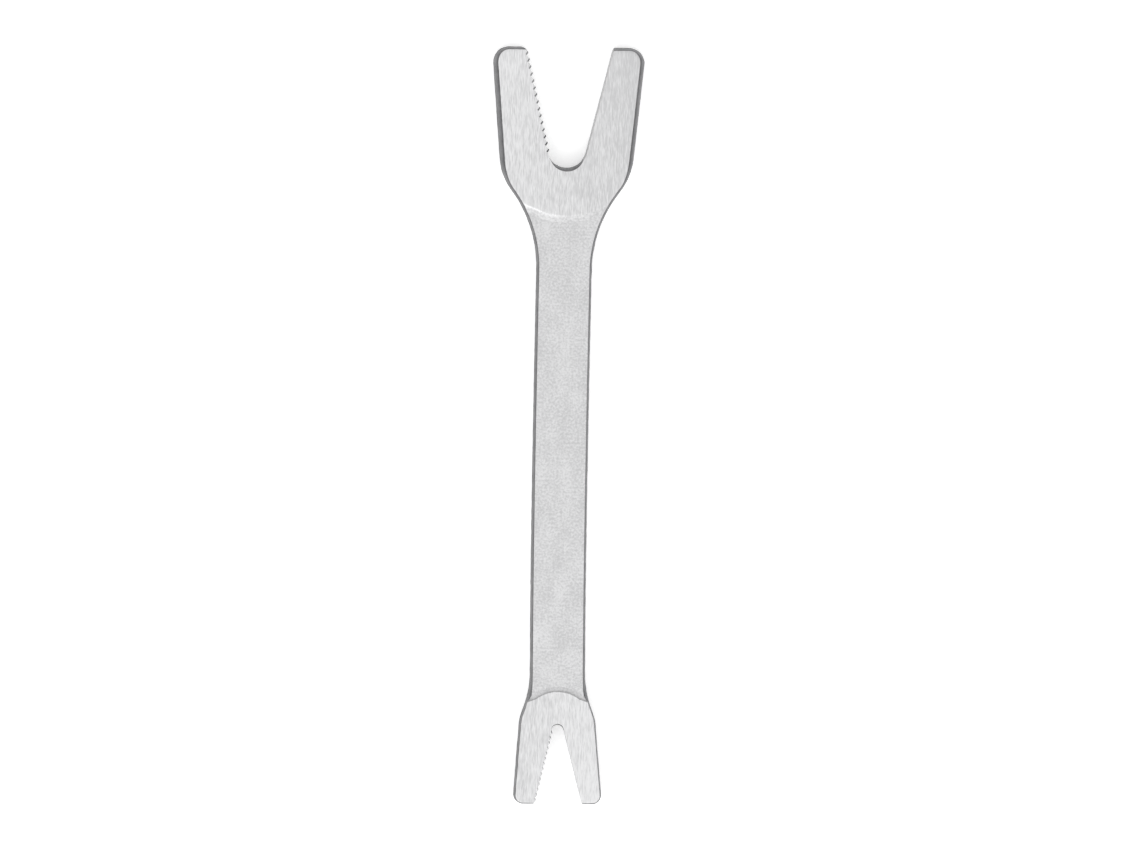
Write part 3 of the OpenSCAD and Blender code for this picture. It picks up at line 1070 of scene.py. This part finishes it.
def cutTeeth(head, mesh, tree):
    scene = bpy.context.scene.collection.objects
    groove, pitch = grooveCutter(head)
    row = bpy.data.objects.new("grooveRow", bpy.data.meshes.new("grooveRow"))
    scene.link(groove)
    scene.link(row)
    count = lastTooth(head) + 1
    modifier = row.modifiers.new("grooves", "NODES")
    modifier.node_group = tree
    setInputs(modifier, {
        "Groove": groove, "Grooves": count, "Pitch along the jaw": (*pitch, 0.0),
        "Uneven cutting": teeth["uneven"], "Steel": bpy.data.materials["cutSteelPaintedShade"],
    })
    cutters = bpy.data.objects.new("grooveCutters", plainMesh(row))
    blank = bpy.data.objects.new("blank", mesh)
    scene.link(cutters)
    scene.link(blank)
    cut = blank.modifiers.new("cut", "BOOLEAN")
    cut.operation, cut.solver, cut.object = "DIFFERENCE", "EXACT", cutters
    cut.material_mode, cut.use_self = "TRANSFER", True  # neighbouring cutters overlap above the crests
    toothed = plainMesh(blank)
    print("grooves cut:", count, "faces", len(mesh.polygons), "to", len(toothed.polygons))
    for o in (groove, row, cutters, blank):
        bpy.data.objects.remove(o)
    return toothed


toothGrooves = toothTree()
for head, name, node in (
    (largeHead, "largeJawHead", "large_jaw_head"),
    (smallHead, "smallJawHead", "small_jaw_head"),
):
    mesh = cutTeeth(head, headMesh(head, name), toothGrooves)
    finishPiece(mesh, name, node, head["side"])


studio = {
    "floorSize": 8.0,  # metres
    "floorGrey": 0.93,
    "floorGlow": 0.42,  # the floor is lit from under too, so that it stays pale beside the tool
    "light": 1.5,
    # the grey at each height, from the horizon up
    "sky": ((0.0, 0.2), (0.45, 0.3), (0.74, 1.0), (0.9, 0.8)),
    "skyReach": 0.9,  # how far up the ramp the zenith comes
    "endShade": 0.3,  # how much less light comes in over the large head's end
    "keyPower": 9.0, "keyFrom": (-0.8, -1.6, 1.6), "keySize": 1.2,
    "distance": 2.2,  # of the camera, in metres
    "sensor": 36,
    "viewWidth": 0.3811,  # how wide the view is at the tool, in metres
    "tiltY": 5.5, "tiltX": -3.0,  # where the camera stands from straight above
    "lean": 0.92,  # how far the tool's long axis leans to the right
    "aim": (2.3, 0.0, 4.0),
}


def makeFloor():
    s = studio
    half = s["floorSize"] / 2
    mesh = bpy.data.meshes.new("floor")
    corners = [(-half, -half, 0), (half, -half, 0), (half, half, 0), (-half, half, 0)]
    mesh.from_pydata(corners, [], [(0, 1, 2, 3)])
    _, shader = newMaterial("paleFloor", (s["floorGrey"],) * 3, 0.9, 0.0)
    shader.inputs["Specular IOR Level"].default_value = 0.0
    shader.inputs["Emission Color"].default_value = (1, 1, 1, 1)
    shader.inputs["Emission Strength"].default_value = s["floorGlow"]
    mesh.materials.append(bpy.data.materials["paleFloor"])
    floor = bpy.data.objects.new("floor", mesh)
    bpy.context.scene.collection.objects.link(floor)


def makeLight():
    s = studio
    world = bpy.data.worlds.new("studio")
    bpy.context.scene.world = world
    world.use_nodes = True
    tree = world.node_tree
    background = tree.nodes["Background"]
    coords = addNode(tree, "ShaderNodeTexCoord")
    parts = addNode(tree, "ShaderNodeSeparateXYZ")
    ramp = addNode(tree, "ShaderNodeValToRGB")
    stops = ramp.color_ramp.elements
    while len(stops) < len(s["sky"]):
        stops.new(0.5)
    for stop, (height, grey) in zip(stops, s["sky"]):
        stop.position = height
        stop.color = (grey, grey, grey, 1)
    tree.links.new(coords.outputs["Generated"], parts.inputs["Vector"])
    toEnd = combine(tree, "MULTIPLY", parts.outputs["Y"], s["endShade"])
    height = combine(tree, "MULTIPLY", parts.outputs["Z"], s["skyReach"])
    tree.links.new(combine(tree, "SUBTRACT", height, toEnd), ramp.inputs["Fac"])
    tree.links.new(ramp.outputs["Color"], background.inputs["Color"])
    background.inputs["Strength"].default_value = s["light"]
    key = bpy.data.lights.new("key", "AREA")
    key.energy, key.size = s["keyPower"], s["keySize"]
    lamp = bpy.data.objects.new("key", key)
    lamp.location = s["keyFrom"]
    lamp.rotation_euler = Vector(s["keyFrom"]).to_track_quat("Z", "Y").to_euler()
    bpy.context.scene.collection.objects.link(lamp)


def makeCamera():
    s = studio
    data = bpy.data.cameras.new("camera")
    data.sensor_width = s["sensor"]
    data.lens = s["sensor"] * s["distance"] / s["viewWidth"]
    data.clip_start, data.clip_end = 0.05, 30
    camera = bpy.data.objects.new("camera", data)
    away = Vector((tangent(s["tiltX"]), tangent(s["tiltY"]), 1)).normalized()
    aim = Vector(s["aim"]) * millimetre
    up = Vector((-sine(s["lean"]), cosine(s["lean"]), 0))
    right = up.cross(away).normalized()
    turn = Matrix((right, away.cross(right), away)).transposed()
    camera.matrix_world = Matrix.Translation(aim + away * s["distance"]) @ turn.to_4x4()
    bpy.context.scene.collection.objects.link(camera)
    bpy.context.scene.camera = camera


makeFloor()
makeLight()
makeCamera()
bpy.context.scene.view_settings.view_transform = "Standard"
print("studio made")
